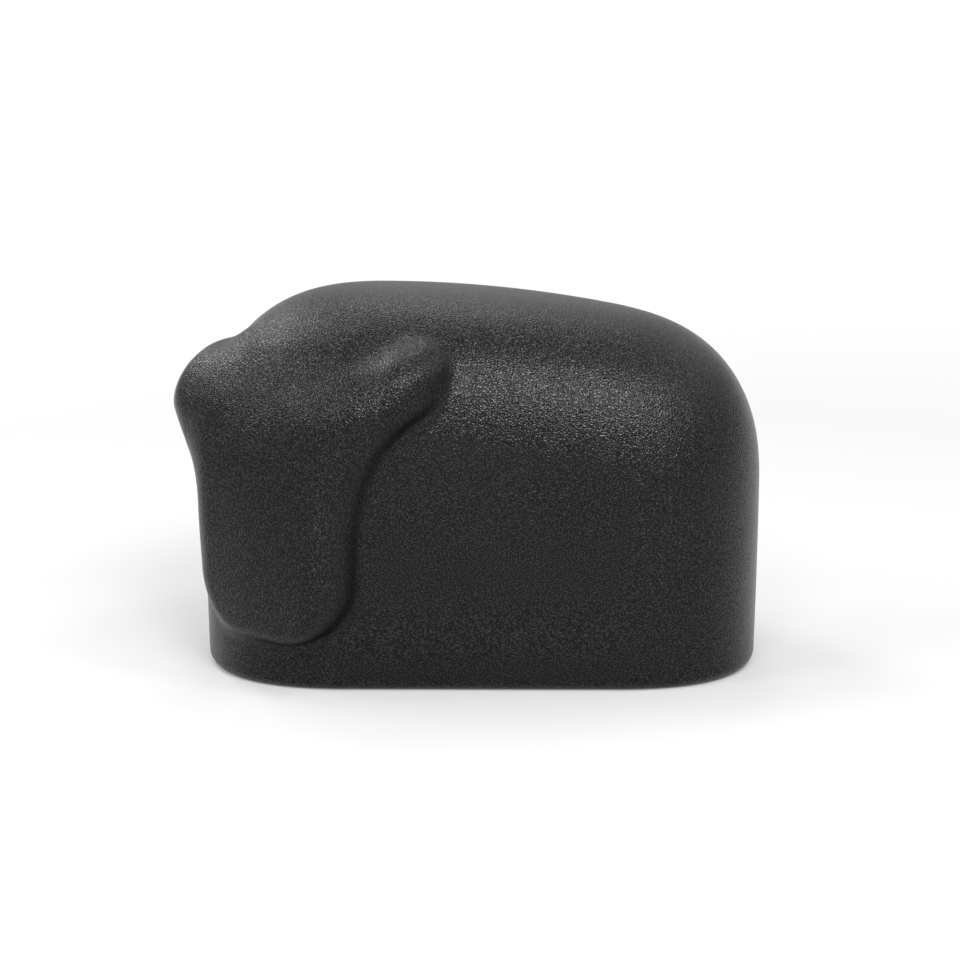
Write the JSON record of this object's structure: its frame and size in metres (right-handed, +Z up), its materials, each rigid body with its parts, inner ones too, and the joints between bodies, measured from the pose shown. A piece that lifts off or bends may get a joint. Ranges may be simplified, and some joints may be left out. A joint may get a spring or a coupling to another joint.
{
  "type": "ox figurine",
  "caption": "Stylised resting ox, cast in one solid piece: a smooth rounded block of a body with its head turned to one side in low relief. Stands as an ornament or paperweight.",
  "frame": {"origin": "middle of the body's footprint, on the flat underside", "axes": "+X towards the tail, -Y towards the side that the head is turned to, +Z up"},
  "size_m": [0.0836, 0.0488, 0.054],
  "materials": {
    "black_lacquered_iron": "fine-grained cast surface under a thin satin black lacquer"
  },
  "bodies": {
    "root": {"ox": "black_lacquered_iron"}
  },
  "joints": []
}
